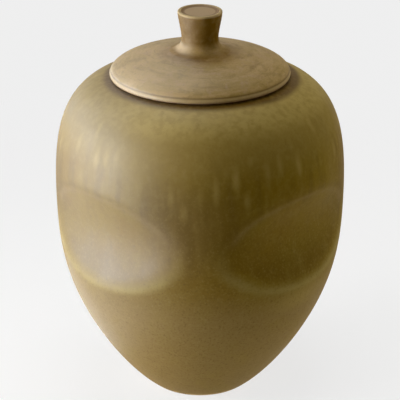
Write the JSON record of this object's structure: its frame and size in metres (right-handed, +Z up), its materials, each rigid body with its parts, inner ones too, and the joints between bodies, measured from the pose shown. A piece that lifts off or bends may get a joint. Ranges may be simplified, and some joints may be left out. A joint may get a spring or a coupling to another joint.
{
  "type": "lidded storage jar",
  "caption": "Round-shouldered glazed stoneware storage jar with oval hollows pressed into its sides and a lift-off domed lid with a waisted knob.",
  "frame": {"origin": "middle of the foot, on the surface that the jar stands on", "axes": "+Z up along the wheel axis; -Y is the front in the picture, a ridge between two hollows"},
  "size_m": [0.251, 0.251, 0.3441],
  "materials": {
    "jar_glaze": "satin olive-brown stoneware glaze with paler streaks",
    "lid_glaze": "satin tan-brown stoneware glaze, paler where it breaks over edges",
    "bare_clay": "bare fired stoneware, matt and lightly gritty"
  },
  "bodies": {
    "jar": {"jar_body": "jar_glaze"},
    "lid": {"lid_plate": "lid_glaze", "knob": "lid_glaze", "locating_ring": "bare_clay"}
  },
  "joints": [
    {"name": "lid_lift", "type": "slide", "parent": "jar", "child": "lid", "axis": [0, 0, 1], "range_m": [0, 0.18]}
  ]
}
